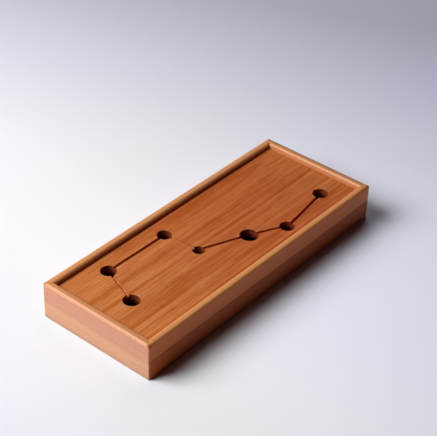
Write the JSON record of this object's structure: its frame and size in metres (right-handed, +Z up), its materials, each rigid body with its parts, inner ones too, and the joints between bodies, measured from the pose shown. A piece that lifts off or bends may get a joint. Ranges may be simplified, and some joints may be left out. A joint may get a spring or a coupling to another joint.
{
  "type": "gongfu tea tray",
  "caption": "Long, low bamboo box with mitred rims and a sunk lift-out drain panel, with round holes joined by carved channels, over a removable water tray.",
  "frame": {"origin": "on the table, under the middle of the tray", "axes": "+X along the tray's long side, +Y across it towards the back rail, +Z up out of the table"},
  "size_m": [0.29, 0.115, 0.035],
  "materials": {
    "rail_bamboo": "carbonised bamboo, satin lacquer",
    "panel_bamboo": "carbonised bamboo, satin lacquer",
    "board_bamboo": "carbonised bamboo board, thin lacquer",
    "strip_bamboo": "carbonised bamboo strip, sealed",
    "water_tray_plastic": "moulded, fine matte texture",
    "screw_steel": "bright stainless"
  },
  "bodies": {
    "frame": {"rail_front": "rail_bamboo", "rail_back": "rail_bamboo", "rail_left": "rail_bamboo", "rail_right": "rail_bamboo", "bottom_board": "board_bamboo", "spline_front_left": "strip_bamboo", "spline_front_right": "strip_bamboo", "spline_back_left": "strip_bamboo", "spline_back_right": "strip_bamboo", "ledger_front": "strip_bamboo", "ledger_back": "strip_bamboo", "ledger_left": "strip_bamboo", "ledger_right": "strip_bamboo"},
    "liner": {"water_tray": "water_tray_plastic"},
    "panel": {"top_panel": "panel_bamboo", "batten_left": "strip_bamboo", "batten_right": "strip_bamboo", "batten_screws": "screw_steel"}
  },
  "joints": [
    {"name": "water_tray_lift", "type": "slide", "parent": "frame", "child": "liner", "axis": [0, 0, 1], "range_m": [0, 0.04]},
    {"name": "panel_lift", "type": "slide", "parent": "liner", "child": "panel", "axis": [0, 0, 1], "range_m": [0, 0.06]}
  ]
}
